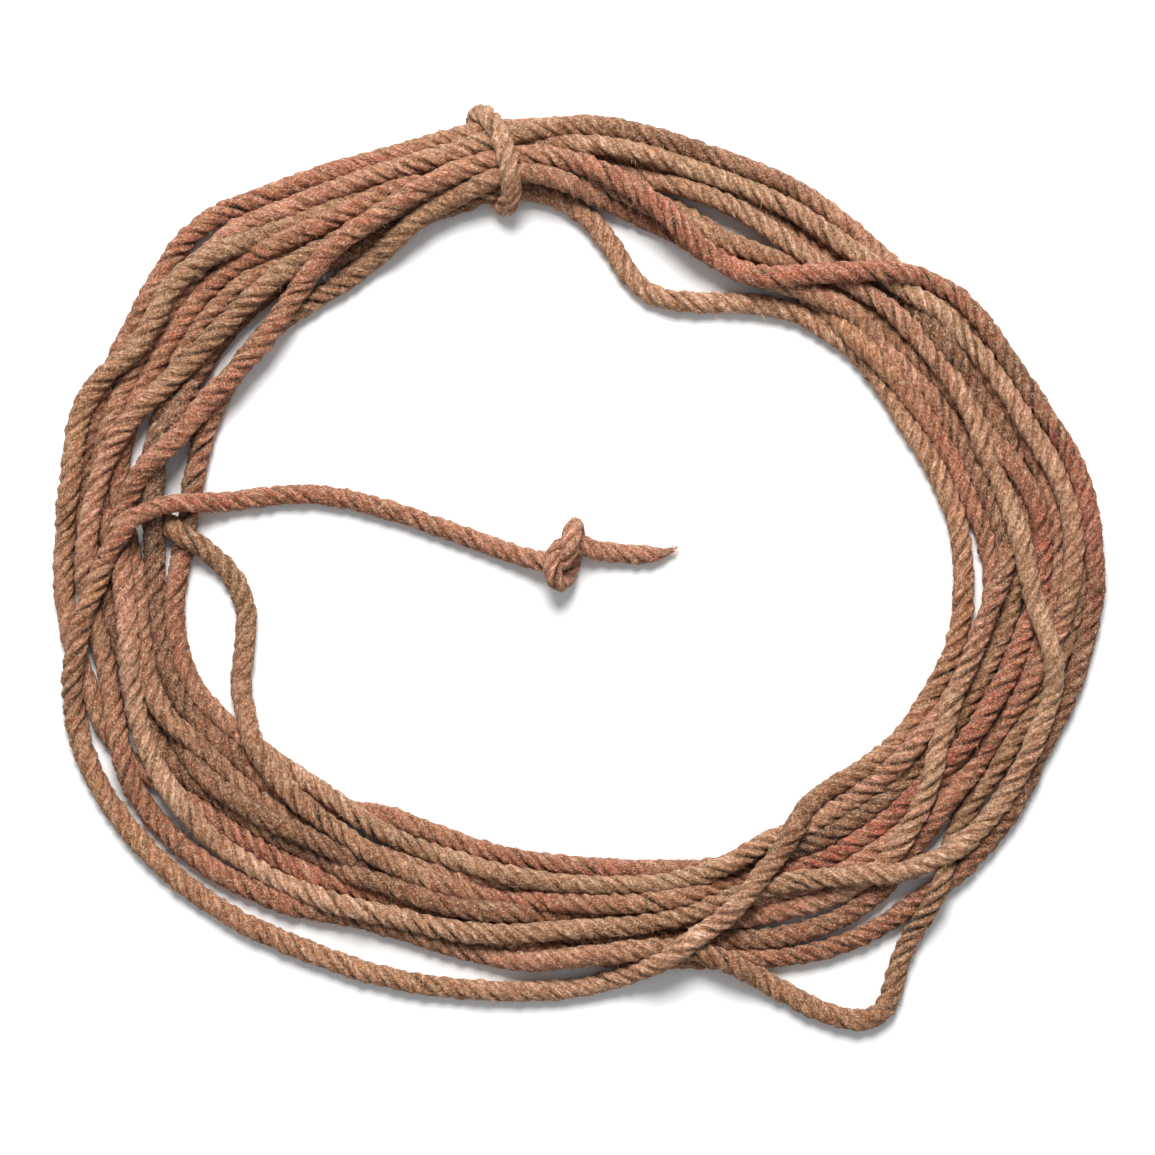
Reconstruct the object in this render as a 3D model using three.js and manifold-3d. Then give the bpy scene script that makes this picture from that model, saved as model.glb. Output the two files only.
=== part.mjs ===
import * as THREE from 'three';
import { mergeVertices } from 'three/addons/utils/BufferGeometryUtils.js';
import Module from 'manifold-3d';

// A frayed laid rope wound by hand into a loose oval coil, tied once round the bundle with its
// own end, the other end lying free across the middle with an overhand knot in it.
// Millimetres, +Z up. The coil lies on z = 0 and the middle of its box is at x = 0, y = 0.

// ---- driving dimensions ----
const ropeDiameter = 8;
const coilCentre = [-0.8, 10.8];             // middle of the oval that the turns follow
const coilHalfWidth = 173;
const coilHalfDepth = 142.5;
const stackRise = 7.2;                      // a rope that lies on another one is this much higher
const pieceGap = 0.3;                       // clearance between two pieces
const underCut = 0.4;                       // rope pressed flat where it touches the surface

const ropeRadius = ropeDiameter / 2;
const restHeight = ropeRadius - underCut;

// the place where the bundle is tied, and how the rope under it lifts the turns there
const tieAngle = 459;
const tieLift = 7.4;
const tieLiftSpread = 7;                    // degrees

// sections and steps of the tubes
const coilSides = 6;
const stepsPerRow = 0.58;                   // tube steps for each row of a turn
const cordSides = 8;
const knotSides = 6;
const tieSteps = 20;
const looseSteps = 14;
const weldDistance = 1e-4;
const slabSize = 600;                       // block below the surface, wider than the coil
const slabThickness = 20;

// Turns of the coil, counter-clockwise from the left side. A row is [angle in degrees, lane, level]:
// lane 0 is the oval, and one lane is a rope's width outward; level 1 lies on top of another rope.
const turns = [
  [
    [183, 0.5, 2.3], [190, 1.95, 2.2], [196, 3.1, 1.6], [203, 4.3, 0.6], [210, 4.85, 0.1],
    [218, 5.1, 0], [228, 5.1, 0], [240, 4.7, 0], [252, 4.4, 0], [264, 3.9, 0], [271, 3.6, 0.2],
    [277, 2.9, 1], [283, 2, 1.9], [289, 0.9, 2.2], [295, -0.35, 2.2], [300, -1.35, 1.6],
    [304, -2.3, 0.8], [308, -2.45, 0.4], [314, -2.05, 0.2], [322, -1.9, 0], [332, -2, 0],
    [342, -2.5, 0], [352, -3, 0], [362, -3.4, 0], [374, -3.8, 0], [386, -4.2, 0], [398, -4.15, 0],
    [408, -4, 0], [416, -4.5, 0], [425, -5.4, 0], [433, -6.1, 0], [438, -6.2, 0], [441, -5.7, 0],
    [445, -4.1, 0], [449, -2.9, 0], [455, -2, 0], [462, -1.8, 0], [472, -1.75, 0.2], [482, -1.8, 0],
    [490, -1.3, 0], [500, -1.1, 0], [510, -1.2, 0.4], [518, -1.25, 0.8], [526, -1.15, 0.8],
    [534, -1.55, 0.5],
  ],
  [
    [181, -1.65, 0], [190, -1.3, 0], [197, -0.85, 0], [204, -0.5, 0], [211, -0.75, 0], [217, -0.95, 0],
    [224, -0.9, 0], [231, -1.5, 0], [238, -2.3, 0], [245, -2.75, 0], [254, -2.5, 0], [264, -2.3, 0],
    [273, -2.05, 0], [281, -1.6, 0], [290, -1, 0], [300, -0.6, 0], [308, -0.55, 0.1], [316, -0.5, 0],
    [324, -0.5, 0], [330, -0.7, 0.3], [338, -0.75, 0.4], [346, -0.6, 0.4], [354, -0.45, 0.2],
    [362, -0.3, 0.2], [370, -0.35, 0.3], [378, -0.55, 0.5], [386, -0.8, 0.3], [395, -0.9, 0.1],
    [405, -0.9, 0], [414, -0.7, 0], [423, 0.1, 0], [432, 0.7, 0], [441, 1.1, 0], [450, 1.5, 0],
    [458, 1.75, 0], [466, 1.7, 0], [475, 1.7, 0], [482, 1.9, 0], [488, 2.45, 0], [494, 3.2, 0],
    [499, 3.3, 0], [506, 2.75, 0], [513, 2.4, 0], [520, 2.3, 0], [527, 2.1, 0], [535, 2, 0],
  ],
  [
    [182, 1.3, 0], [190, 0.7, 0.1], [198, 0.6, 0.2], [206, 0.95, 0.2], [214, 1.25, 0.3],
    [222, 1.2, 0.4], [229, 0.85, 0.5], [236, 0.4, 0.5], [246, 0.2, 0.4], [256, 0.35, 0.4],
    [266, 0.1, 0.4], [276, 0.2, 0.3], [284, 0.8, 0.3], [291, 1.5, 0.6], [297, 1.7, 0.7],
    [303, 2.1, 0.8], [308, 2, 1], [313, 1.4, 1.6], [319, 0.55, 2], [325, -0.6, 1.9], [331, -1.4, 1.5],
    [338, -1.55, 1.2], [345, -1.65, 0.9], [351, -1.35, 0.7], [357, -1.2, 0.7], [363, -1.7, 0.8],
    [370, -2.2, 0.9], [379, -2.6, 0.9], [389, -3, 0.9], [399, -3.1, 0.9], [407, -3, 0.6],
    [415, -3.3, 0.2], [424, -3.6, 0], [433, -3, 0.1], [441, -2.4, 0.5], [449, -1.6, 0.8], [457, -1, 1],
    [464, -1.35, 0.9], [472, -1.85, 0.7], [479, -2.5, 0.3], [485, -2.9, 0.1], [491, -2.75, 0],
    [500, -2.6, 0], [510, -2.7, 0], [520, -2.9, 0], [530, -3.2, 0],
  ],
  [
    [180, -3.1, 0], [187, -2.6, 0.1], [194, -1.95, 0.2], [200, -1.45, 0.2], [206, -1.2, 0.2],
    [212, -1.45, 0.3], [219, -2, 0.2], [227, -2.2, 0.4], [236, -2.25, 0.7], [245, -2, 0.8],
    [255, -1.65, 0.8], [265, -1.45, 0.9], [275, -1.1, 1], [285, -0.95, 1.1], [293, -1.3, 0.9],
    [300, -1.5, 0.5], [308, -1.35, 0.4], [316, -1.35, 0.5], [324, -1.6, 0.4], [333, -1.6, 0.1],
    [343, -1.4, 0], [352, -1.5, 0], [360, -1.9, 0], [367, -2.7, 0.1], [375, -3.1, 0.4],
    [384, -3.5, 0.6], [394, -3.7, 0.7], [403, -3.75, 0.7], [410, -3.5, 0.4], [418, -3.3, 0],
    [427, -3, 0], [436, -2.2, 0], [445, -1.5, 0], [455, -1.1, 0], [465, -1, 0], [475, -0.7, 0],
    [485, -0.4, 0], [495, -0.1, 0], [505, -0.05, 0], [512, -0.2, 0], [519, -0.9, 0], [526, -1, 0],
    [532, -1.1, 0], [537, -1.9, 0.3],
  ],
  [
    [180, -3.1, 0.8], [183, -4.1, 0.3], [188, -5.1, 0], [194, -5.45, 0], [200, -5.2, 0],
    [205, -4.45, 0.1], [210, -3.4, 0.3], [215, -2.7, 0.6], [220, -1.9, 1], [227, -1.5, 1.2],
    [235, -1.2, 1.3], [243, -0.8, 1.3], [252, -0.6, 1.2], [261, -0.45, 1.1], [270, -0.5, 0.8],
    [279, -0.3, 0.5], [288, -0.1, 0.3], [296, 0.1, 0.4], [303, 0.5, 0.8], [310, 0.45, 1],
    [317, 0.2, 0.9], [325, 0.35, 0.9], [334, 0.3, 1], [342, 0.45, 1], [349, 0.75, 0.9], [356, 0.85, 1],
    [363, 0.4, 1.2], [370, -0.3, 1], [378, -1.2, 0.4], [388, -1.9, 0.1], [398, -2.35, 0.2],
    [407, -2.45, 0.3], [416, -2.6, 0.4], [425, -2.8, 0.5], [434, -2.5, 0.3], [443, -1.6, 0.1],
    [452, -0.9, 0.4], [462, -0.7, 0.6], [474, -0.85, 0.5], [485, -1, 0.6], [495, -1, 0.8],
    [505, -0.95, 0.9], [511, -0.8, 1], [517, -0.15, 1.1], [524, 0.7, 1.1], [531, 1.15, 1],
  ],
  [
    [180, 1.45, 1], [186, 1.6, 1], [193, 1.6, 1], [200, 2, 1], [207, 2.85, 1], [214, 3.7, 0.9],
    [221, 3.85, 0.9], [229, 3.6, 0.9], [236, 3, 0.7], [243, 2.25, 0.4], [250, 2.1, 0.2],
    [257, 2.3, 0.1], [265, 2.3, 0.1], [273, 2, 0.3], [280, 2, 0.6], [285, 2.5, 0.6], [288, 3.4, 0.3],
    [291, 4.8, 0], [295, 6.9, 0], [298, 8, 0], [300.5, 8.35, 0], [303, 7.1, 0], [306, 5.8, 0.3],
    [310, 4.9, 1], [314, 4.1, 1.1], [317, 3.1, 0.9], [321, 2.5, 0.7], [328, 2.3, 0.5], [336, 2, 0.2],
    [345, 2.3, 0], [355, 2.5, 0], [364, 2.2, 0], [374, 1.5, 0], [385, 1, 0], [395, 0.5, 0],
    [404, 0, 0.2], [412, 0.3, 0.5], [420, 0.7, 0.5], [430, 0.7, 0.5], [438, 1, 0.5], [445, 1.6, 0.7],
    [452, 1.5, 0.9], [458, 1.1, 1], [465, 0.8, 1], [472, 0.85, 1], [480, 1.3, 1], [488, 1.75, 0.7],
    [495, 2, 0.3], [505, 1.7, 0], [515, 1.4, 0], [525, 1.3, 0], [534, 1, 0],
  ],
  [
    [180, 0.6, 0], [190, 0.2, 0], [200, 0, 0], [207, 0.4, 0.1], [213, 0.85, 0.3], [219, 0.7, 0.6],
    [226, 0.35, 0.8], [233, -0.2, 0.8], [241, -0.2, 0.3], [250, 0.2, 0], [260, 0.8, 0], [270, 1.3, 0],
    [279, 1.6, 0.2], [286, 2.3, 0.6], [292, 2.75, 0.8], [299, 3.2, 0.8], [305, 3.1, 0.7],
    [311, 2.4, 0.6], [317, 1.6, 0.8], [324, 1.3, 0.9], [334, 1.3, 1], [342, 1.5, 1], [349, 1.85, 1],
    [357, 2.05, 1], [364, 1.9, 1.1], [370, 1.3, 1.2], [376, 0.7, 1.1], [384, 0.35, 1], [392, 0, 0.9],
    [400, -0.4, 0.9], [407, -0.6, 0.8], [414, -0.5, 0.9], [421, -0.2, 1], [429, 0.1, 1],
    [437, 0.4, 0.9], [446, 0.6, 0.5], [454, 0.7, 0.1], [462, 0.5, 0], [471, 0.3, 0.2], [479, 0.4, 0.6],
    [486, 0.65, 0.8], [492, 1.1, 1], [498, 1.9, 1], [504, 2.15, 0.9], [510, 1.65, 0.9], [515, 1.8, 1],
    [519, 2.6, 1.1], [524, 2.8, 1], [532, 2.4, 1],
  ],
  [
    [180, 2.6, 0.9], [187, 2.9, 0.6], [195, 3, 0.2], [202, 3.1, 0], [209, 3.1, 0], [215, 2.4, 0.2],
    [221, 1.7, 0.6], [228, 1.5, 0.8], [236, 1.4, 0.9], [243, 0.9, 0.8], [250, 0.8, 0.3], [260, 1.3, 0],
    [270, 1.9, 0], [279, 2.4, 0], [286, 2.9, 0.2], [291, 3.6, 0.3], [297, 4.2, 0.2], [304, 4.45, 0.1],
    [311, 4.4, 0.1], [319, 4.3, 0.2], [326, 3.9, 0.5], [333, 3.4, 0.9], [341, 3.4, 0.8],
    [350, 3.2, 0.8], [358, 2.85, 0.9], [365, 2.6, 1], [371, 2.2, 1], [378, 1.5, 0.9], [385, 1.2, 0.9],
    [391, 1.1, 0.8], [396, 1.1, 0.8], [400, 0.7, 1.2], [405, -0.2, 2], [410, -1.4, 2.3], [415, -2.6, 2],
    [420, -3.6, 1.5], [425, -3.9, 1.1], [430, -3.55, 1], [435, -2.7, 1.2], [440, -1.75, 1.4],
    [446, -0.9, 1.6], [453, -0.15, 1.5], [460, -0.15, 1.4], [468, -0.5, 1.5], [476, -0.95, 1.5],
    [484, -1.25, 1.4], [489, -1.65, 1.3], [494, -2.4, 1.1], [500, -2.75, 0.9], [508, -2.8, 0.9],
    [515, -2.4, 0.9], [521, -2, 1.2], [526, -1.35, 1.6], [531, -0.6, 1.6], [536, -0.15, 1.3],
  ],
  [
    [180, 0.15, 1], [186, -0.05, 0.9], [192, -0.05, 0.9], [197, 0.3, 1], [202, 0.9, 1.1],
    [208, 1.7, 1.3], [214, 2.25, 1.4], [222, 2.45, 1.5], [230, 2.45, 1.5], [238, 2.3, 1.6],
    [244, 1.85, 1.6], [251, 1.5, 1.3], [259, 1.35, 1.2], [267, 0.9, 1.2], [275, 0.75, 1.2],
    [283, 0.55, 1.2], [290, 0.3, 1.1], [296, 0.4, 1.1], [301, 1, 1.4], [306, 1.9, 1.8], [311, 2.9, 2],
    [316, 3.45, 2], [322, 3.6, 1.8], [328, 3.3, 1.8], [335, 2.9, 1.9], [341, 2.4, 2], [346, 1.4, 2.1],
    [351, 0.3, 2.1], [356, -0.3, 1.7], [362, -0.65, 1.4], [369, -1.2, 1.4], [376, -1.5, 1.3],
    [385, -1.5, 1.2], [394, -1.55, 1.1], [403, -1.65, 1], [410, -1.85, 1], [417, -1.8, 1.1],
    [424, -1.35, 1.2], [431, -0.85, 1.2], [439, -0.5, 0.9], [448, -0.3, 0.4], [458, -0.3, 0],
    [468, -0.1, 0.3], [479, -0.1, 0.5], [488, 0.1, 0.6], [495, 0.8, 0.6], [502, 0.95, 0.7],
    [509, 0.75, 0.7], [516, 0.65, 0.5], [523, 0.8, 0.2], [532, 0.7, 0],
  ],
  [
    [180, -0.3, 0], [190, -0.4, 0], [198, 0, 0.3], [204, 0.4, 0.4], [210, 0.3, 0.5], [216, -0.3, 0.6],
    [224, -0.4, 0.8], [232, -0.4, 0.8], [240, -0.6, 0.3], [250, -0.9, 0.1], [260, -1.2, 0],
    [270, -1, 0], [280, -0.4, 0], [290, 0.4, 0], [300, 1.2, 0], [310, 1.4, 0], [320, 0.9, 0],
    [330, 0.4, 0], [340, 0.9, 0], [350, 1.4, 0], [360, 1.3, 0], [370, 0.8, 0], [380, 0.3, 0],
    [390, -0.4, 0], [400, -1.5, 0], [410, -1.7, 0], [420, -1.3, 0], [430, -0.4, 0], [440, 0.1, 0],
    [448, 0.4, 0],
  ],
];

// The rope's end that ties the bundle: it comes up at the outer side, crosses over the turns and goes
// down at the inner side. The rows are as above, but with a height in millimetres.
const tieRoute = [
  [460.6, 0.6, 4], [461.6, 1.5, 4.2], [462.1, 2.3, 7.5], [461.4, 2.75, 15], [460.4, 2.6, 22.5],
  [459.4, 1.8, 27], [458.6, 0.8, 28.6], [458.2, -0.3, 28.6], [458.3, -1.3, 27.2], [458.8, -2.2, 22],
  [459.6, -2.6, 14.5], [460.3, -2.3, 7.5], [460.5, -1.5, 4.2], [460.5, -0.7, 4],
];

// The free end: over the left side of the bundle, down to the surface and across the middle.
const looseRoute = [
  [-177.2, 3.8, 20.3], [-175.2, 9.3, 21], [-169.9, 16.5, 20.6], [-162.3, 21.2, 18.6],
  [-154.7, 23.3, 15.2], [-147, 23.6, 10.8], [-138.8, 23.4, 6.2], [-130.5, 24.2, 3.8],
  [-119.5, 25.8, 3.6], [-108, 27.1, 3.6], [-93.9, 26.4, 3.6], [-78.7, 22.9, 3.6], [-63.5, 18.4, 3.6],
  [-48.3, 12.7, 3.6], [-33.1, 7.7, 3.6], [-22, 4.4, 3.6],
];

// The overhand knot: the rope that goes through it, the arm in front and the arm over the top.
const knotThrough = [
  [-21.2, 4.15, 3.6], [-13.5, 2.8, 4], [-4.5, 2.8, 4.6], [3.5, 5.2, 4.6], [11.5, 5.4, 3.8], [20.5, 4.2, 3.6],
];
const knotFront = [[-6.5, -6.7, 4.2], [-11, -5.7, 7.1], [-11.9, -0.2, 11], [-8.1, 6.4, 11], [-4, 7.8, 7.6]];
const knotOver = [
  [-6, 6.8, 5.6], [-2, 12.8, 6], [3.1, 10.8, 9.2], [1, 5.3, 11.2], [-3.5, -0.2, 9.6], [-6.5, -5.7, 5.6],
];
const tailBend = [20.5, 4.2, 3.6];
const tailPoint = [37, 4, 3.6];
const tailPointRadius = 1.6;

const ropeColours = { coil: 0xa9795a, tie: 0xb79a74, end: 0xa86a50, knot: 0xaa7358 };

// ---- solids ----
const wasm = await Module();
wasm.setup();

function toSolid(geometry) {
  const bare = geometry.clone();
  bare.deleteAttribute('normal');
  bare.deleteAttribute('uv');
  const merged = mergeVertices(bare, weldDistance);
  const vertProperties = new Float32Array(merged.attributes.position.array);
  const triVerts = new Uint32Array(merged.index.array);
  return new wasm.Manifold(new wasm.Mesh({ numProp: 3, vertProperties, triVerts }));
}

function toGeometry(solid) {
  const mesh = solid.getMesh();
  const geometry = new THREE.BufferGeometry();
  geometry.setAttribute('position', new THREE.BufferAttribute(new Float32Array(mesh.vertProperties), 3));
  geometry.setIndex(new THREE.BufferAttribute(new Uint32Array(mesh.triVerts), 1));
  geometry.computeVertexNormals();
  return geometry;
}

// only the outer skin is kept: closed-in air between the turns and loose crumbs are left out
function outerBody(solid) {
  const bodies = solid.decompose();
  return bodies.reduce((largest, body) => (body.volume() > largest.volume() ? body : largest));
}

// a point of a turn, a number of millimetres outward from the oval
function onOval(degrees, outward, height) {
  const angle = THREE.MathUtils.degToRad(degrees);
  const normal = new THREE.Vector2(coilHalfDepth * Math.cos(angle), coilHalfWidth * Math.sin(angle));
  normal.normalize();
  return new THREE.Vector3(
    coilCentre[0] + coilHalfWidth * Math.cos(angle) + outward * normal.x,
    coilCentre[1] + coilHalfDepth * Math.sin(angle) + outward * normal.y,
    height,
  );
}

function liftAt(degrees) {
  return tieLift * Math.exp(-(((degrees - tieAngle) / tieLiftSpread) ** 2));
}

function turnPoint([degrees, lane, level]) {
  const height = restHeight + level * stackRise + liftAt(degrees);
  return onOval(degrees, lane * ropeDiameter, height);
}

// a closed tube with flat ends through the points
function tube(points, radius, sides, steps) {
  const corners = [];
  for (let i = 0; i < sides; i += 1) {
    const turn = (i / sides) * 2 * Math.PI;
    corners.push(new THREE.Vector2(radius * Math.cos(turn), radius * Math.sin(turn)));
  }
  const extrudePath = new THREE.CatmullRomCurve3(points);
  extrudePath.getUtoTmapping = (u) => u;       // closer steps where the points are closer
  return new THREE.ExtrudeGeometry(new THREE.Shape(corners), { steps, bevelEnabled: false, extrudePath });
}

// each turn runs a little way into the next one, so that they join
function turnSolid(rows, index) {
  const next = turns[index + 1];
  const joint = next ? next.slice(0, 2).map(([degrees, lane, level]) => [degrees + 360, lane, level]) : [];
  const points = [...rows, ...joint].map(turnPoint);
  const steps = Math.round(points.length * stepsPerRow);
  return toSolid(tube(points, ropeRadius, coilSides, steps));
}

function routePoints(rows) {
  return rows.map(([x, y, z]) => new THREE.Vector3(x, y, z));
}

function cordSolid(points, radius, steps, sides = cordSides) {
  return toSolid(tube(points, radius, sides, steps));
}

// the same points with the first and the last one moved further out
function stretched(points, distance) {
  const further = (from, end) => end.clone().add(end.clone().sub(from).setLength(distance));
  const first = further(points[1], points[0]);
  const last = further(points.at(-2), points.at(-1));
  return [first, ...points.slice(1, -1), last];
}

// the flat surface below takes the lowest sliver off a solid
function restOnSurface(solid) {
  const slab = new THREE.BoxGeometry(slabSize, slabSize, slabThickness);
  slab.translate(0, 0, -slabThickness / 2);
  return solid.subtract(toSolid(slab));
}

// a cone between two points, for the tapered tip
function taperedTip(from, to, radiusFrom, radiusTo) {
  const start = new THREE.Vector3(...from);
  const axis = new THREE.Vector3(...to).sub(start);
  const geometry = new THREE.CylinderGeometry(radiusTo, radiusFrom, axis.length(), cordSides);
  geometry.translate(0, axis.length() / 2, 0);
  const turn = new THREE.Quaternion().setFromUnitVectors(new THREE.Vector3(0, 1, 0), axis.normalize());
  geometry.applyQuaternion(turn);
  geometry.translate(start.x, start.y, start.z);
  return toSolid(geometry);
}

// ---- pieces ----
// the tie turn and the loose end, each fatter and longer by the clearance around it
function tieTurn(clearance = 0) {
  const points = tieRoute.map(([degrees, lane, height]) => onOval(degrees, lane * ropeDiameter, height));
  return cordSolid(stretched(points, clearance), ropeRadius + clearance, tieSteps);
}

function looseEnd(clearance = 0) {
  return cordSolid(stretched(routePoints(looseRoute), clearance), ropeRadius + clearance, looseSteps);
}

function knotArm(rows) {
  return cordSolid(routePoints(rows), ropeRadius, rows.length, knotSides);
}

function knotAndTail() {
  const tip = taperedTip(tailBend, tailPoint, ropeRadius, tailPointRadius);
  return [knotThrough, knotFront, knotOver].map(knotArm).reduce((sum, arm) => sum.add(arm), tip);
}

function coil() {
  const wound = turns.map(turnSolid).reduce((sum, turn) => sum.add(turn));
  return wound.subtract(tieTurn(pieceGap)).subtract(looseEnd(pieceGap));
}

const part = new THREE.Group();

function addPiece(name, solid, color) {
  const material = new THREE.MeshStandardMaterial({ color, roughness: 0.95, metalness: 0 });
  const mesh = new THREE.Mesh(toGeometry(outerBody(restOnSurface(solid))), material);
  mesh.name = name;
  part.add(mesh);
}

addPiece('coil', coil(), ropeColours.coil);
addPiece('tie_turn', tieTurn(), ropeColours.tie);
addPiece('loose_end', looseEnd(), ropeColours.end);
addPiece('overhand_knot', knotAndTail(), ropeColours.knot);

export default part;
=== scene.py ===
import bpy
import numpy as np
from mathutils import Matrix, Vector


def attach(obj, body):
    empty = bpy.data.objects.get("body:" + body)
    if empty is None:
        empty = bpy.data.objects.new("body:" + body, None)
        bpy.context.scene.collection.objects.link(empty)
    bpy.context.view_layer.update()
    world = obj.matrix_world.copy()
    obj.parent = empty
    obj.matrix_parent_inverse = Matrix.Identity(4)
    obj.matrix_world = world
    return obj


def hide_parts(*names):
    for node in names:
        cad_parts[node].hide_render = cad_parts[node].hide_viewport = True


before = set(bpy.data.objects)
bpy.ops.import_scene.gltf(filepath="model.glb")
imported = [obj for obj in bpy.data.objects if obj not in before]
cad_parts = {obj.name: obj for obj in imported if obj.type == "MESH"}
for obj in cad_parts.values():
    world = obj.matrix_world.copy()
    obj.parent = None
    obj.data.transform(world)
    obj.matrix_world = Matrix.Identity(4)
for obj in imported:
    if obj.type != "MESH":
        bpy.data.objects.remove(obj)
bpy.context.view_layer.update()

dice = np.random.default_rng(41)


viewSpec = {
    "height": 1.62,          # metres above the surface
    "width": 0.4367,         # what the frame shows across, on the level of the rope
    "aim": (0.0, -0.0048),
    "level": 0.012,          # height of the rope where that width is taken
    "sensor": 36.0,
}


def makeCamera(spec):
    lens = bpy.data.cameras.new("topCamera")
    lens.sensor_width = spec["sensor"]
    lens.lens = spec["sensor"] * (spec["height"] - spec["level"]) / spec["width"]
    camera = bpy.data.objects.new("topCamera", lens)
    camera.location = (spec["aim"][0], spec["aim"][1], spec["height"])
    bpy.context.collection.objects.link(camera)
    bpy.context.scene.camera = camera


makeCamera(viewSpec)


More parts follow.
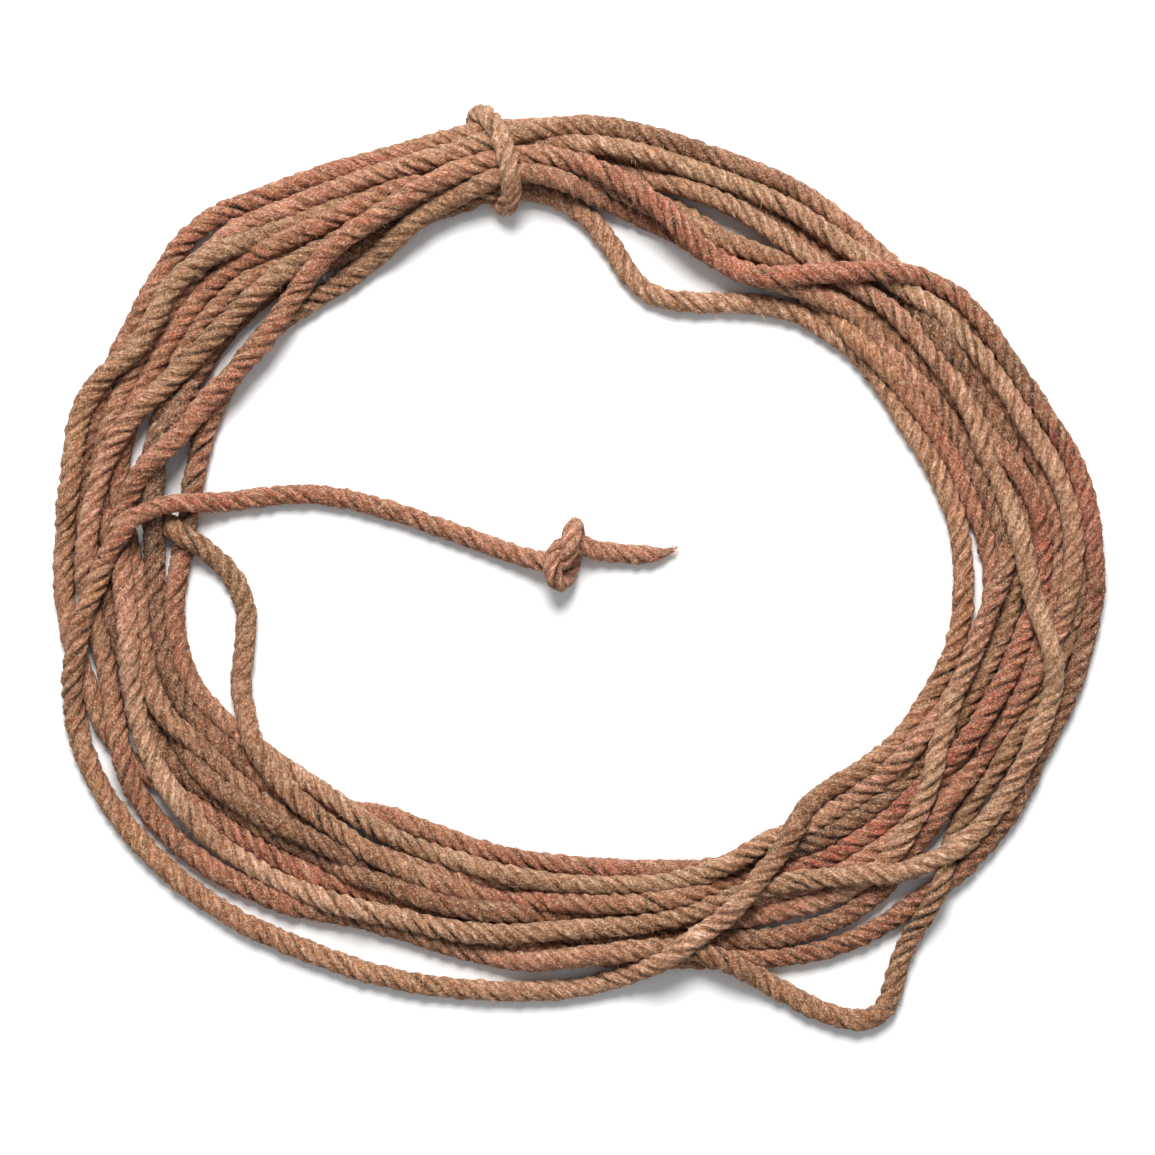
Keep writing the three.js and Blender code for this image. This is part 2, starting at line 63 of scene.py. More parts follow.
# Turns of the coil, counter-clockwise from the left side. A row is (angle in degrees, lane, level):
# lane 0 is the oval, one lane is a rope's width outward, and level 1 lies on top of another rope.
# A row without a level lies on the surface.
turns = [
    [(183, 0.5, 2.3), (190, 1.95, 2.2), (196, 3.1, 1.6), (203, 4.3, 0.6), (210, 4.85, 0.1), (218, 5.1),
     (228, 5.1), (240, 4.7), (252, 4.4), (264, 3.9), (271, 3.6, 0.2), (277, 2.9, 1), (283, 2, 1.9),
     (289, 0.9, 2.2), (295, -0.35, 2.2), (300, -1.35, 1.6), (304, -2.3, 0.8), (308, -2.45, 0.4),
     (314, -2.05, 0.2), (322, -1.9), (332, -2), (342, -2.5), (352, -3), (362, -3.4), (374, -3.8),
     (386, -4.2), (398, -4.15), (408, -4), (416, -4.5), (425, -5.4), (433, -6.1), (438, -6.2),
     (441, -5.7), (445, -4.1), (449, -2.9), (455, -2), (462, -1.8), (472, -1.75, 0.2), (482, -1.8),
     (490, -1.3), (500, -1.1), (510, -1.2, 0.4), (518, -1.25, 0.8), (526, -1.15, 0.8),
     (534, -1.55, 0.5)],
    [(181, -1.65), (190, -1.3), (197, -0.85), (204, -0.5), (211, -0.75), (217, -0.95), (224, -0.9),
     (231, -1.5), (238, -2.3), (245, -2.75), (254, -2.5), (264, -2.3), (273, -2.05), (281, -1.6),
     (290, -1), (300, -0.6), (308, -0.55, 0.1), (316, -0.5), (324, -0.5), (330, -0.7, 0.3),
     (338, -0.75, 0.4), (346, -0.6, 0.4), (354, -0.45, 0.2), (362, -0.3, 0.2), (370, -0.35, 0.3),
     (378, -0.55, 0.5), (386, -0.8, 0.3), (395, -0.9, 0.1), (405, -0.9), (414, -0.7), (423, 0.1),
     (432, 0.7), (441, 1.1), (450, 1.5), (458, 1.75), (466, 1.7), (475, 1.7), (482, 1.9), (488, 2.45),
     (494, 3.2), (499, 3.3), (506, 2.75), (513, 2.4), (520, 2.3), (527, 2.1), (535, 2)],
    [(182, 1.3), (190, 0.7, 0.1), (198, 0.6, 0.2), (206, 0.95, 0.2), (214, 1.25, 0.3), (222, 1.2, 0.4),
     (229, 0.85, 0.5), (236, 0.4, 0.5), (246, 0.2, 0.4), (256, 0.35, 0.4), (266, 0.1, 0.4),
     (276, 0.2, 0.3), (284, 0.8, 0.3), (291, 1.5, 0.6), (297, 1.7, 0.7), (303, 2.1, 0.8), (308, 2, 1),
     (313, 1.4, 1.6), (319, 0.55, 2), (325, -0.6, 1.9), (331, -1.4, 1.5), (338, -1.55, 1.2),
     (345, -1.65, 0.9), (351, -1.35, 0.7), (357, -1.2, 0.7), (363, -1.7, 0.8), (370, -2.2, 0.9),
     (379, -2.6, 0.9), (389, -3, 0.9), (399, -3.1, 0.9), (407, -3, 0.6), (415, -3.3, 0.2), (424, -3.6),
     (433, -3, 0.1), (441, -2.4, 0.5), (449, -1.6, 0.8), (457, -1, 1), (464, -1.35, 0.9),
     (472, -1.85, 0.7), (479, -2.5, 0.3), (485, -2.9, 0.1), (491, -2.75), (500, -2.6), (510, -2.7),
     (520, -2.9), (530, -3.2)],
    [(180, -3.1), (187, -2.6, 0.1), (194, -1.95, 0.2), (200, -1.45, 0.2), (206, -1.2, 0.2),
     (212, -1.45, 0.3), (219, -2, 0.2), (227, -2.2, 0.4), (236, -2.25, 0.7), (245, -2, 0.8),
     (255, -1.65, 0.8), (265, -1.45, 0.9), (275, -1.1, 1), (285, -0.95, 1.1), (293, -1.3, 0.9),
     (300, -1.5, 0.5), (308, -1.35, 0.4), (316, -1.35, 0.5), (324, -1.6, 0.4), (333, -1.6, 0.1),
     (343, -1.4), (352, -1.5), (360, -1.9), (367, -2.7, 0.1), (375, -3.1, 0.4), (384, -3.5, 0.6),
     (394, -3.7, 0.7), (403, -3.75, 0.7), (410, -3.5, 0.4), (418, -3.3), (427, -3), (436, -2.2),
     (445, -1.5), (455, -1.1), (465, -1), (475, -0.7), (485, -0.4), (495, -0.1), (505, -0.05),
     (512, -0.2), (519, -0.9), (526, -1), (532, -1.1), (537, -1.9, 0.3)],
    [(180, -3.1, 0.8), (183, -4.1, 0.3), (188, -5.1), (194, -5.45), (200, -5.2), (205, -4.45, 0.1),
     (210, -3.4, 0.3), (215, -2.7, 0.6), (220, -1.9, 1), (227, -1.5, 1.2), (235, -1.2, 1.3),
     (243, -0.8, 1.3), (252, -0.6, 1.2), (261, -0.45, 1.1), (270, -0.5, 0.8), (279, -0.3, 0.5),
     (288, -0.1, 0.3), (296, 0.1, 0.4), (303, 0.5, 0.8), (310, 0.45, 1), (317, 0.2, 0.9),
     (325, 0.35, 0.9), (334, 0.3, 1), (342, 0.45, 1), (349, 0.75, 0.9), (356, 0.85, 1), (363, 0.4, 1.2),
     (370, -0.3, 1), (378, -1.2, 0.4), (388, -1.9, 0.1), (398, -2.35, 0.2), (407, -2.45, 0.3),
     (416, -2.6, 0.4), (425, -2.8, 0.5), (434, -2.5, 0.3), (443, -1.6, 0.1), (452, -0.9, 0.4),
     (462, -0.7, 0.6), (474, -0.85, 0.5), (485, -1, 0.6), (495, -1, 0.8), (505, -0.95, 0.9),
     (511, -0.8, 1), (517, -0.15, 1.1), (524, 0.7, 1.1), (531, 1.15, 1)],
    [(180, 1.45, 1), (186, 1.6, 1), (193, 1.6, 1), (200, 2, 1), (207, 2.85, 1), (214, 3.7, 0.9),
     (221, 3.85, 0.9), (229, 3.6, 0.9), (236, 3, 0.7), (243, 2.25, 0.4), (250, 2.1, 0.2),
     (257, 2.3, 0.1), (265, 2.3, 0.1), (273, 2, 0.3), (280, 2, 0.6), (285, 2.5, 0.6), (288, 3.4, 0.3),
     (291, 4.8), (295, 6.9), (298, 8), (300.5, 8.35), (303, 7.1), (306, 5.8, 0.3), (310, 4.9, 1),
     (314, 4.1, 1.1), (317, 3.1, 0.9), (321, 2.5, 0.7), (328, 2.3, 0.5), (336, 2, 0.2), (345, 2.3),
     (355, 2.5), (364, 2.2), (374, 1.5), (385, 1), (395, 0.5), (404, 0, 0.2), (412, 0.3, 0.5),
     (420, 0.7, 0.5), (430, 0.7, 0.5), (438, 1, 0.5), (445, 1.6, 0.7), (452, 1.5, 0.9), (458, 1.1, 1),
     (465, 0.8, 1), (472, 0.85, 1), (480, 1.3, 1), (488, 1.75, 0.7), (495, 2, 0.3), (505, 1.7),
     (515, 1.4), (525, 1.3), (534, 1)],
    [(180, 0.6), (190, 0.2), (200, 0), (207, 0.4, 0.1), (213, 0.85, 0.3), (219, 0.7, 0.6),
     (226, 0.35, 0.8), (233, -0.2, 0.8), (241, -0.2, 0.3), (250, 0.2), (260, 0.8), (270, 1.3),
     (279, 1.6, 0.2), (286, 2.3, 0.6), (292, 2.75, 0.8), (299, 3.2, 0.8), (305, 3.1, 0.7),
     (311, 2.4, 0.6), (317, 1.6, 0.8), (324, 1.3, 0.9), (334, 1.3, 1), (342, 1.5, 1), (349, 1.85, 1),
     (357, 2.05, 1), (364, 1.9, 1.1), (370, 1.3, 1.2), (376, 0.7, 1.1), (384, 0.35, 1), (392, 0, 0.9),
     (400, -0.4, 0.9), (407, -0.6, 0.8), (414, -0.5, 0.9), (421, -0.2, 1), (429, 0.1, 1),
     (437, 0.4, 0.9), (446, 0.6, 0.5), (454, 0.7, 0.1), (462, 0.5), (471, 0.3, 0.2), (479, 0.4, 0.6),
     (486, 0.65, 0.8), (492, 1.1, 1), (498, 1.9, 1), (504, 2.15, 0.9), (510, 1.65, 0.9), (515, 1.8, 1),
     (519, 2.6, 1.1), (524, 2.8, 1), (532, 2.4, 1)],
    [(180, 2.6, 0.9), (187, 2.9, 0.6), (195, 3, 0.2), (202, 3.1), (209, 3.1), (215, 2.4, 0.2),
     (221, 1.7, 0.6), (228, 1.5, 0.8), (236, 1.4, 0.9), (243, 0.9, 0.8), (250, 0.8, 0.3), (260, 1.3),
     (270, 1.9), (279, 2.4), (286, 2.9, 0.2), (291, 3.6, 0.3), (297, 4.2, 0.2), (304, 4.45, 0.1),
     (311, 4.4, 0.1), (319, 4.3, 0.2), (326, 3.9, 0.5), (333, 3.4, 0.9), (341, 3.4, 0.8),
     (350, 3.2, 0.8), (358, 2.85, 0.9), (365, 2.6, 1), (371, 2.2, 1), (378, 1.5, 0.9), (385, 1.2, 0.9),
     (391, 1.1, 0.8), (396, 1.1, 0.8), (400, 0.7, 1.2), (405, -0.2, 2), (410, -1.4, 2.3),
     (415, -2.6, 2), (420, -3.6, 1.5), (425, -3.9, 1.1), (430, -3.55, 1), (435, -2.7, 1.2),
     (440, -1.75, 1.4), (446, -0.9, 1.6), (453, -0.15, 1.5), (460, -0.15, 1.4), (468, -0.5, 1.5),
     (476, -0.95, 1.5), (484, -1.25, 1.4), (489, -1.65, 1.3), (494, -2.4, 1.1), (500, -2.75, 0.9),
     (508, -2.8, 0.9), (515, -2.4, 0.9), (521, -2, 1.2), (526, -1.35, 1.6), (531, -0.6, 1.6),
     (536, -0.15, 1.3)],
    [(180, 0.15, 1), (186, -0.05, 0.9), (192, -0.05, 0.9), (197, 0.3, 1), (202, 0.9, 1.1),
     (208, 1.7, 1.3), (214, 2.25, 1.4), (222, 2.45, 1.5), (230, 2.45, 1.5), (238, 2.3, 1.6),
     (244, 1.85, 1.6), (251, 1.5, 1.3), (259, 1.35, 1.2), (267, 0.9, 1.2), (275, 0.75, 1.2),
     (283, 0.55, 1.2), (290, 0.3, 1.1), (296, 0.4, 1.1), (301, 1, 1.4), (306, 1.9, 1.8), (311, 2.9, 2),
     (316, 3.45, 2), (322, 3.6, 1.8), (328, 3.3, 1.8), (335, 2.9, 1.9), (341, 2.4, 2), (346, 1.4, 2.1),
     (351, 0.3, 2.1), (356, -0.3, 1.7), (362, -0.65, 1.4), (369, -1.2, 1.4), (376, -1.5, 1.3),
     (385, -1.5, 1.2), (394, -1.55, 1.1), (403, -1.65, 1), (410, -1.85, 1), (417, -1.8, 1.1),
     (424, -1.35, 1.2), (431, -0.85, 1.2), (439, -0.5, 0.9), (448, -0.3, 0.4), (458, -0.3),
     (468, -0.1, 0.3), (479, -0.1, 0.5), (488, 0.1, 0.6), (495, 0.8, 0.6), (502, 0.95, 0.7),
     (509, 0.75, 0.7), (516, 0.65, 0.5), (523, 0.8, 0.2), (532, 0.7)],
    [(180, -0.3), (190, -0.4), (198, 0, 0.3), (204, 0.4, 0.4), (210, 0.3, 0.5), (216, -0.3, 0.6),
     (224, -0.4, 0.8), (232, -0.4, 0.8), (240, -0.6, 0.3), (250, -0.9, 0.1), (260, -1.2), (270, -1),
     (280, -0.4), (290, 0.4), (300, 1.2), (310, 1.4), (320, 0.9), (330, 0.4), (340, 0.9), (350, 1.4),
     (360, 1.3), (370, 0.8), (380, 0.3), (390, -0.4), (400, -1.5), (410, -1.7), (420, -1.3),
     (430, -0.4), (440, 0.1), (448, 0.4)],
]

coilSpec = {
    "centre": (-0.8, 10.8),  # middle of the oval that the turns follow, mm
    "halfWidth": 173.0,
    "halfDepth": 142.5,
    "diameter": 8.0,
    "stackRise": 7.2,        # from one level to the next
    "restHeight": 3.6,       # middle of a rope that lies on the surface
    "tieAngle": 459.0,
    "tieLift": 7.4,          # the tie's tucked end lifts the turns above it
    "tieSpread": 7.0,        # degrees over which that lift fades
    "squeeze": 0.20,         # the tie draws the turns toward the outer edge by this share
    "squeezeEdge": 1.8,      # lane of that outer edge
    "squeezeSpread": 13.0,   # degrees over which the squeeze fades
}

# The dye angle grows along the whole rope, so it also tells the rope's stretches apart.
dyeAngles = {
    "tail": (-100, -40),     # tail and knot
    "looseEnd": (-30, 170),
    "coilFrom": 175.0,
    "coilCut": 181.5,        # the coil's first piece begins
    "tieFrom": 3700.0,
    "tieCut": 3701.0,        # the tie's piece begins
    "tieTurn": 3701.5,       # from here the rope goes round the bundle
}

# where the last turn goes under the bundle and becomes the tie: (angle, lane, height in mm)
tieRoute = [
    (453, 0.3, 4), (457.5, 0.25, 4), (460.6, 0.9, 4), (461.6, 1.6, 4.2), (462.1, 2.3, 7.5),
    (461.4, 2.75, 15), (460.4, 2.6, 22.5), (459.4, 1.8, 27), (458.6, 0.8, 28.6), (458.2, -0.3, 28.6),
    (458.3, -1.1, 27.2), (458.8, -1.8, 22), (459.6, -2.1, 14.5), (460.3, -1.85, 7.5),
    (460.5, -1.2, 4.2), (460.5, -0.5, 4),
]

# the free end, from the knot to the top of the bundle's left side: (x, y, height) in mm
looseRoute = [
    (-16.5, 1.8, 4.4), (-23.5, 4, 3.6), (-33.1, 7.4, 3.6), (-48.3, 12.7, 3.6), (-63.5, 18.4, 3.6),
    (-78.7, 22.9, 3.6), (-93.9, 26.4, 3.6), (-108, 27.1, 3.6), (-119.5, 25.8, 3.6),
    (-130.5, 24.2, 3.8), (-138.8, 23.4, 6.2), (-147, 23.6, 10.8), (-154.7, 23.3, 15.2),
    (-162.3, 21.2, 18.6), (-169.9, 16.5, 20.6), (-175.2, 9.3, 21), (-177.2, 3.8, 20.3),
]

# the tail that leaves the knot, from its tip to the knot: (x, y, height) in mm
tailRoute = [
    (36.2, 5.8, 3.0), (33.2, 4.6, 3.2), (28.6, 3.9, 3.4), (22.6, 4.0, 3.5), (17, 4.4, 3.6),
    (11.5, 4.9, 4.0), (6.0, 5.9, 5.5),
]


# (x, y) of an angle and a number of millimetres outward from the oval, along its normal
def onOval(degrees, outward):
    angle = np.radians(degrees)
    nx = coilSpec["halfDepth"] * np.cos(angle)
    ny = coilSpec["halfWidth"] * np.sin(angle)
    size = np.hypot(nx, ny)
    x = coilSpec["centre"][0] + coilSpec["halfWidth"] * np.cos(angle) + outward * nx / size
    y = coilSpec["centre"][1] + coilSpec["halfDepth"] * np.sin(angle) + outward * ny / size
    return np.stack([x, y], 1)


# rows (x, y, height, dye angle); the dye angle grows by 360 with each turn
def coilRows():
    rows = np.array([(row + (0,))[:3] for turn in turns for row in turn], float)
    count = np.repeat(np.arange(len(turns)), [len(turn) for turn in turns])
    fromTie = rows[:, 0] - coilSpec["tieAngle"]
    drawn = coilSpec["squeeze"] * np.exp(-(fromTie / coilSpec["squeezeSpread"]) ** 2)
    lane = rows[:, 1] + (coilSpec["squeezeEdge"] - rows[:, 1]) * drawn
    xy = onOval(rows[:, 0], lane * coilSpec["diameter"])
    lift = coilSpec["tieLift"] * np.exp(-(fromTie / coilSpec["tieSpread"]) ** 2)
    height = coilSpec["restHeight"] + rows[:, 2] * coilSpec["stackRise"] + lift
    return np.column_stack([xy, height, rows[:, 0] + 360.0 * count])


def tieRows():
    rows = np.array(tieRoute, float)
    xy = onOval(rows[:, 0], rows[:, 1] * coilSpec["diameter"])
    return np.column_stack([xy, rows[:, 2], dyeAngles["tieFrom"] + np.arange(len(rows))])


# the loose end, the coil and the tie, in metres
def woundRows(knotEnd):
    loose = np.vstack([knotEnd[None], np.array(looseRoute, float)])
    loose = np.column_stack([loose, np.linspace(*dyeAngles["looseEnd"], len(loose))])
    rows = np.vstack([loose, coilRows(), tieRows()])
    rows[:, :3] *= 0.001
    return rows


# A cubic through the rows, each span bent by the slopes at its two ends (slope = change over
# chord length), then cut into equal steps.
def evenPath(rows, step, dense=24):
    chord = np.r_[0, np.cumsum(np.linalg.norm(np.diff(rows[:, :3], axis=0), axis=1))]
    slope = np.gradient(rows, chord, axis=0)
    t = np.linspace(0, 1, dense, endpoint=False)[None, :, None]
    h = np.diff(chord)[:, None, None]
    a, b = rows[:-1, None], rows[1:, None]
    sa, sb = slope[:-1, None] * h, slope[1:, None] * h
    curve = (2 * t**3 - 3 * t**2 + 1) * a + (t**3 - 2 * t**2 + t) * sa
    curve = curve + (3 * t**2 - 2 * t**3) * b + (t**3 - t**2) * sb
    curve = np.vstack([curve.reshape(-1, rows.shape[1]), rows[-1:]])
    return cutEven(curve, step)


# The same line with its points a whole number of equal steps apart.
def cutEven(curve, step):
    along = np.r_[0, np.cumsum(np.linalg.norm(np.diff(curve[:, :3], axis=0), axis=1))]
    count = max(2, int(round(along[-1] / step)) + 1)
    at = np.linspace(0, along[-1], count)
    return np.column_stack([np.interp(at, along, curve[:, k]) for k in range(curve.shape[1])])


settleSpec = {
    "step": 0.004,           # spacing of the points while the rope settles
    "rounds": 260,
    "touch": 0.0071,         # two ropes that press on each other are this far apart
    "fall": 0.00012,         # drop in each round
    "hold": 0.20,            # pull back to the place where it was wound, level only
    "bend": 0.22,            # how much each point evens out between its neighbours
    "keep": 0.3,             # how firmly each step keeps its length
    "tight": 0.12,           # ropes in the tie press this much closer
    "rest": 0.0037,          # lowest place of the rope's middle
    "skip": 4,               # neighbours along the rope that don't press on each other
    "lookEvery": 8,          # rounds between two searches for pairs that are close
    "lookWide": 1.35,        # that search reaches so many touches
    "shared": 0.6,           # a point that is pressed by many moves less for each
    "presses": 2,            # times in each round that the pairs are parted
}


# Pairs of points within reach of each other that aren't neighbours along the rope.
def closePairs(points, reach, skip):
    p = points.astype(np.float32)
    square = (p * p).sum(1)
    apart = square[:, None] + square[None, :] - 2.0 * (p @ p.T)
    i, j = np.nonzero(np.triu(apart < reach * reach, skip))
    return i, j


# The pushes of all pairs, added up for each point.
def pushes(i, j, press, n):
    added = [np.bincount(j, press[:, k], n) - np.bincount(i, press[:, k], n) for k in range(3)]
    return np.stack(added, 1)


# Each round: the rope drops a little, is held to its wound place on the level, evens out its bends,
# and where two points are closer than a rope's width both move apart along the line between them.
# No point goes below the surface.
def settle(path, spec, fixed):
    wound = path[:, :3].copy()
    p = wound.copy()
    n = len(p)
    free = (~fixed).astype(float)[:, None]
    dyeAngle = path[:, 3]
    fromTie = (dyeAngle - coilSpec["tieAngle"] + 180.0) % 360.0 - 180.0
    fromTie = np.where(dyeAngle < dyeAngles["coilFrom"], 180.0, fromTie)
    fromTie = np.where(dyeAngle > dyeAngles["tieFrom"], 0.0, fromTie)
    width = spec["touch"] * (1 - spec["tight"] * np.exp(-(fromTie / coilSpec["squeezeSpread"]) ** 2))
    span = np.linalg.norm(np.diff(wound, axis=0), axis=1)[:, None]
    for turn in range(spec["rounds"]):
        if turn % spec["lookEvery"] == 0:
            i, j = closePairs(p, spec["touch"] * spec["lookWide"], spec["skip"])
        p[:, 2] -= spec["fall"] * free[:, 0]
        p[:, :2] += spec["hold"] * (wound[:, :2] - p[:, :2]) * free
        even = np.zeros_like(p)
        even[1:-1] = 0.5 * (p[:-2] + p[2:]) - p[1:-1]
        p += spec["bend"] * even * free
        gap = np.diff(p, axis=0)
        size = np.linalg.norm(gap, axis=1)[:, None] + 1e-9
        mend = (size - span) / size * gap * spec["keep"]
        p[:-1] += mend * free[:-1]
        p[1:] -= mend * free[1:]
        for _ in range(spec["presses"]):
            gap = p[j] - p[i]
            far = np.linalg.norm(gap, axis=1) + 1e-9
            tooClose = np.clip(0.5 * (width[i] + width[j]) - far, 0, None)
            press = tooClose[:, None] * gap / far[:, None] * 0.5
            hits = np.bincount(j, press[:, 2] != 0, n) + np.bincount(i, press[:, 2] != 0, n)
            p += pushes(i, j, press, n) / np.maximum(hits, 1.0)[:, None] ** spec["shared"] * free
            p[:, 2] = np.maximum(p[:, 2], spec["rest"])
    out = path.copy()
    out[:, :3] = p
    return out


knotSpec = {
    "open": 2.25,            # the open knot runs from -open to +open
    "points": 400,
    "flat": 0.8,             # its depth is multiplied by this
    "thin": 5.0,             # and its height divided by this
    "size": 0.0062,          # metres for one unit of the open knot
    "step": 0.0015,
    "touch": 0.0045,         # ropes in the knot press this close
    "skip": 1.6,             # points nearer than so many touches along the rope don't press
    "rounds": 700,
    "least": 50,             # rounds before the knot may be called tight
    "pull": 0.00012,         # how far each end is drawn out in each round
    "gather": 0.97,          # the ends also come in toward one line
    "mends": 12,             # times in each round that lengths and gaps are mended
    "keep": 0.45,            # how firmly each step keeps its length
    "bend": 0.25,            # how much each point evens out between its neighbours
    "stretch": 1.24,         # tight when the rope is drawn out by this much
    "roll": 157.0,           # turn about its own line, degrees
    "pitch": 15.0,           # brings both ends down to one height, degrees
    "turn": 22.0,            # turn on the surface, degrees
    "core": 0.02,            # the middle is taken of this much either way
    "middle": (-4.2, 3.8),   # its place on the surface, mm
    "reach": (-8.0, 3.0),    # part of it that is kept, left and right of its middle, mm
    "lowest": 0.0031,
}


# An open trefoil (x = t^3 - 3t, y = t^4 - 4t^2, z = t^5 - 10t) whose ends are drawn apart until the
# rope in it presses on itself: each round moves the ends out, keeps every step its length and parts
# the points that touch.
def tightenKnot(spec):
    t = np.linspace(-spec["open"], spec["open"], spec["points"])
    x, y, z = t**3 - 3 * t, spec["flat"] * (t**4 - 4 * t * t), -(t**5 - 10 * t) / spec["thin"]
    p = cutEven(np.stack([x, y, z], 1) * spec["size"], spec["step"])
    n = len(p)
    way = np.sign(p[-1, 2] - p[0, 2])
    skip = int(np.ceil(spec["skip"] * spec["touch"] / spec["step"]))
    for turn in range(spec["rounds"]):
        p[0, 2] -= spec["pull"] * way
        p[-1, 2] += spec["pull"] * way
        p[[0, -1], :2] *= spec["gather"]
        ends = p[[0, -1]].copy()
        for _ in range(spec["mends"]):
            gap = np.diff(p, axis=0)
            size = np.linalg.norm(gap, axis=1)[:, None]
            mend = (size - spec["step"]) / size * gap * spec["keep"]
            p[:-1] += mend
            p[1:] -= mend
            i, j = closePairs(p, spec["touch"], skip)
            gap = p[j] - p[i]
            far = np.linalg.norm(gap, axis=1)[:, None] + 1e-9
            press = np.clip(spec["touch"] - far, 0, None) * gap / far * 0.5
            hits = np.bincount(i, minlength=n) + np.bincount(j, minlength=n)
            p += pushes(i, j, press, n) / np.sqrt(np.maximum(hits, 1))[:, None]
            p[[0, -1]] = ends
        p[1:-1] += spec["bend"] * (0.5 * (p[:-2] + p[2:]) - p[1:-1])
        drawn = np.linalg.norm(np.diff(p, axis=0), axis=1).mean() / spec["step"]
        if turn > spec["least"] and drawn > spec["stretch"]:
            break
    return p


# The tail, then the tightened knot laid down: its line along X, rolled, pitched, turned and resting
# on the surface.
def knotPath(spec):
    p = tightenKnot(spec)
    way = np.sign(p[-1, 2] - p[0, 2])
    q = np.stack([p[:, 2] * way, p[:, 0] * way, p[:, 1]], 1)
    q -= q[np.abs(q[:, 0]) < spec["core"]].mean(0)
    line = q[:, 0]
    roll, pitch, turn = (np.radians(spec[name]) for name in ("roll", "pitch", "turn"))
    inside = np.nonzero((line * 1000 > spec["reach"][0]) & (line * 1000 < spec["reach"][1]))[0]
    across = q[:, 1] * np.cos(roll) - q[:, 2] * np.sin(roll)
    up = q[:, 1] * np.sin(roll) + q[:, 2] * np.cos(roll)
    ahead = line * np.cos(pitch) - up * np.sin(pitch)
    z = line * np.sin(pitch) + up * np.cos(pitch)
    x = ahead * np.cos(turn) - across * np.sin(turn) + spec["middle"][0] * 0.001
    y = ahead * np.sin(turn) + across * np.cos(turn) + spec["middle"][1] * 0.001
    knot = np.stack([x, y, z], 1)[inside[0]:inside[-1] + 1]
    knot[:, 2] += spec["lowest"] - knot[:, 2].min()
    if knot[0, 0] < knot[-1, 0]:
        knot = knot[::-1]
    rows = np.vstack([np.array(tailRoute, float) * 0.001, knot])
    return np.column_stack([rows, np.linspace(*dyeAngles["tail"], len(rows))])


# what drifts along the rope is (every so many metres, lowest, highest)
ropeSpec = {
    "radius": 0.0041,
    "strands": 4,
    "pitch": 0.0245,         # length of one whole twist of a strand
    "step": 0.0015,
    "around": 24,
    "groove": 0.32,          # depth between two strands, as a share of the radius
    "crown": 0.75,           # below 1 the grooves are narrower
    "lump": 0.07,
    "lumpDrift": (0.007, -1, 1),
    "uneven": 0.24,          # how far the grooves stray, in radians
    "unevenDrift": (0.011, -1, 1),
    "layDrift": (0.09, -0.6, 0.6),
    "wearDrift": (0.05, 0.5, 1.15),      # the lay is worn flatter in places
    "seamDrift": (0.007, 0.25, 1.35),    # and each groove is filled with fibre in places
    "rough": 0.00015,
    "smear": 0.6,            # share of a spot's roughness that its neighbours take
    "roughTone": 0.10,       # what stands out is paler
    "mottle": 0.26,          # how far the tone of one small spot strays from the next
    "paleSpots": 0.10,       # share of the spots that are pale fibre ends
    "paleTone": 1.5,
    "darkSpots": 0.07,
    "darkTone": 0.55,
}


# A random number every so many metres, joined by smooth steps (cosine ease between them).
def wander(s, every, low, high):
    knots = dice.uniform(low, high, int(s[-1] / every) + 3)
    at = s / every
    k = at.astype(int)
    ease = 0.5 - 0.5 * np.cos((at - k) * np.pi)
    return knots[k] * (1 - ease) + knots[k + 1] * ease


# Side and top of each station, square to the rope, and the angle by which that frame has turned
# against one that is carried along the rope without turning.
def ropeFrames(points, reference):
    tangent = np.gradient(points, axis=0)
    tangent /= np.linalg.norm(tangent, axis=1)[:, None]
    side = np.cross(reference, tangent)
    side /= np.linalg.norm(side, axis=1)[:, None]
    top = np.cross(tangent, side)
    carried = side[:-1] - (side[:-1] * tangent[1:]).sum(1)[:, None] * tangent[1:]
    step = np.arctan2((carried * top[1:]).sum(1), (carried * side[1:]).sum(1))
    return side, top, np.r_[0, np.cumsum(step)]


# One drift for each strand, with the first repeated at the end, so that the last meets it.
def strandDrift(s, spec, drift):
    each = np.stack([wander(s, *drift) for _ in range(spec["strands"])], 1)
    return np.hstack([each, each[:, :1]])


